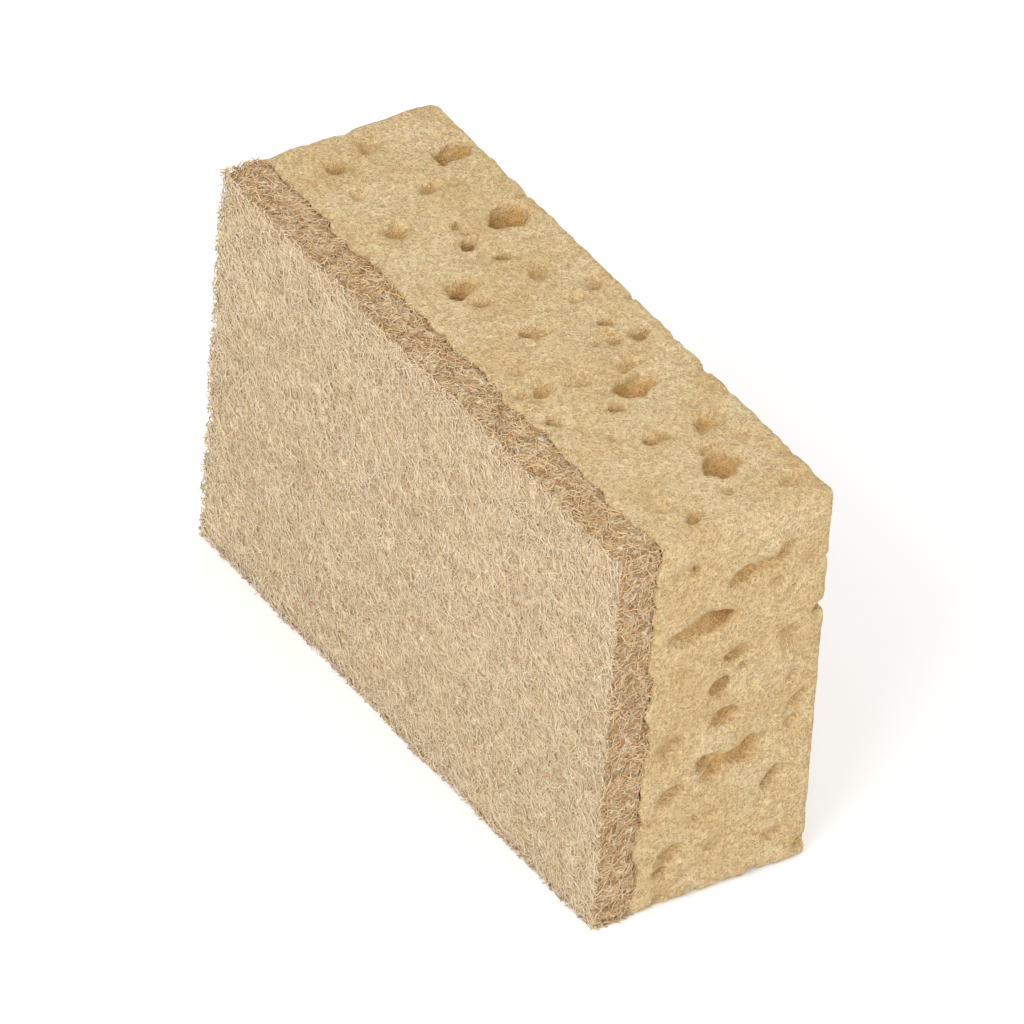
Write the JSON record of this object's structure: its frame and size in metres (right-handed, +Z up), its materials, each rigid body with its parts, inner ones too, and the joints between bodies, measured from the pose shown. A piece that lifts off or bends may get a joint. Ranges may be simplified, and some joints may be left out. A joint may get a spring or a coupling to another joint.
{
  "type": "dish sponge",
  "caption": "Oblong washing-up sponge: a block of coarse-pored foam with a fibre scouring pad laminated to one broad face.",
  "frame": {"origin": "middle of the footprint, on the surface that the sponge stands on", "axes": "+X from the scouring pad's face to the foam's broad face, across the thickness; +Y along the length; +Z up, across the width"},
  "size_m": [0.039, 0.112, 0.07],
  "materials": {
    "foam": "matt, open-celled, warm ochre yellow",
    "scouring_fibre": "matt tangle of crimped natural fibre, beige with brown gaps"
  },
  "bodies": {
    "root": {"foam_block": "foam", "scouring_pad": "scouring_fibre"}
  },
  "joints": []
}
